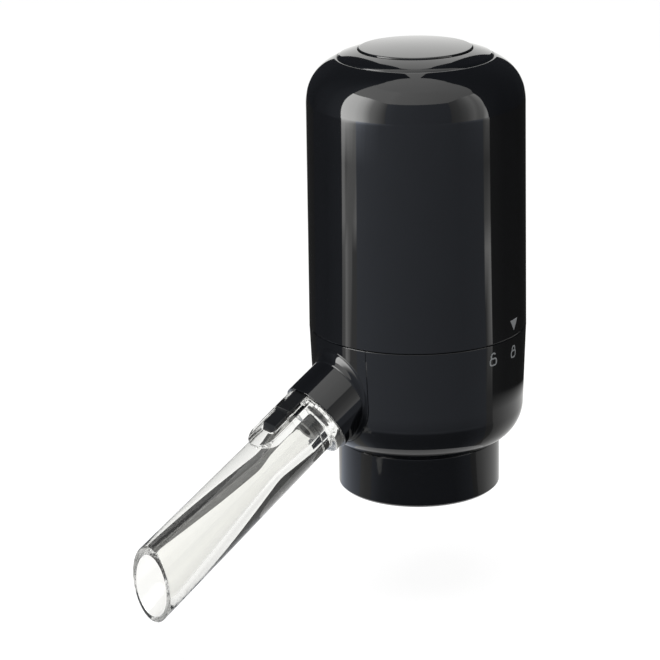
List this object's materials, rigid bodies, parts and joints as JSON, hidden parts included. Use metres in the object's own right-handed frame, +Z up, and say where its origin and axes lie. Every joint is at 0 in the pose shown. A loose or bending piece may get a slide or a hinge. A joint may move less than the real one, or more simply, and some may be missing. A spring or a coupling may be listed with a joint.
{
  "type": "electric wine aerator",
  "caption": "Battery-powered wine aerator that sits on a bottle neck: glossy black body with a twist-off head, a round top button, an air pump inside and a clear slanting pour spout that pulls off.",
  "frame": {"origin": "centre of the collar's lower rim, where the bottle's finish enters", "axes": "+Z up the body's axis, -Y towards the spout, +X to the right of the spout's plane seen from the front"},
  "size_m": [0.06, 0.1205, 0.1428],
  "materials": {
    "gloss_black": "polished black ABS",
    "satin_black": "satin black ABS",
    "black_rubber": "matt",
    "silicone": "translucent silicone",
    "natural_plastic": "natural moulded plastic",
    "steel": "plated steel",
    "ferrite": "dull",
    "cell_wrap": "printed wrap",
    "brass": "plated",
    "board_green": "solder resist",
    "clear_plastic": "clear moulded plastic"
  },
  "bodies": {
    "base": {"lower_housing": "gloss_black", "spout_block": "gloss_black", "spout_nozzle": "satin_black", "nozzle_o_ring": "black_rubber", "bottle_collar": "gloss_black", "mouth_gasket": "silicone", "tube_socket": "silicone", "duct_body": "natural_plastic", "duct_lid": "natural_plastic", "air_valve": "silicone", "duct_screws": "steel"},
    "head": {"upper_casing": "gloss_black", "crown_ring": "gloss_black", "head_chassis": "satin_black", "air_nozzle_o_ring": "black_rubber", "chassis_screws": "steel", "pump_cover": "natural_plastic", "pump_diaphragm": "black_rubber", "pump_body": "natural_plastic", "pump_screws": "steel", "motor_can": "steel", "motor_magnets": "ferrite", "motor_end_cap": "satin_black", "battery_frame": "satin_black", "frame_screws": "steel", "battery_cell_1": "cell_wrap", "battery_cell_2": "cell_wrap", "battery_cell_3": "cell_wrap", "battery_cell_4": "cell_wrap", "battery_springs": "steel", "battery_contacts": "brass", "circuit_board": "board_green", "board_screws": "steel", "switch_body": "satin_black", "button_spring": "steel"},
    "button": {"power_button": "gloss_black", "switch_plunger": "natural_plastic"},
    "rotor": {"motor_armature": "steel", "eccentric": "natural_plastic"},
    "wobbler": {"wobble_plate": "natural_plastic"},
    "spout": {"pour_spout": "clear_plastic"}
  },
  "joints": [
    {"name": "head_twist", "type": "hinge", "parent": "base", "child": "head", "pos_m": [0, 0, 0.0466], "axis": [0, 0, 1], "range_deg": [-17.5, 0]},
    {"name": "button_press", "type": "slide", "parent": "head", "child": "button", "axis": [0, 0, -1], "range_m": [0, 0.001], "stiffness_N_per_m": 600, "springref_m": -0.001, "deforming": ["button_spring"]},
    {"name": "motor_spin", "type": "hinge", "parent": "head", "child": "rotor", "pos_m": [0, 0, 0.066], "axis": [0, 0, 1], "continuous": true, "deforming": ["pump_diaphragm"]},
    {"name": "plate_nutation", "type": "hinge", "parent": "rotor", "child": "wobbler", "pos_m": [0, 0, 0.0576], "axis": [0.0872, 0, 0.9962], "continuous": true},
    {"name": "spout_pull", "type": "slide", "parent": "base", "child": "spout", "axis": [0, -0.8499, -0.527], "range_m": [0, 0.03]}
  ],
  "couplings": [
    {"joint": "plate_nutation", "follows": "motor_spin", "ratio": -1}
  ]
}
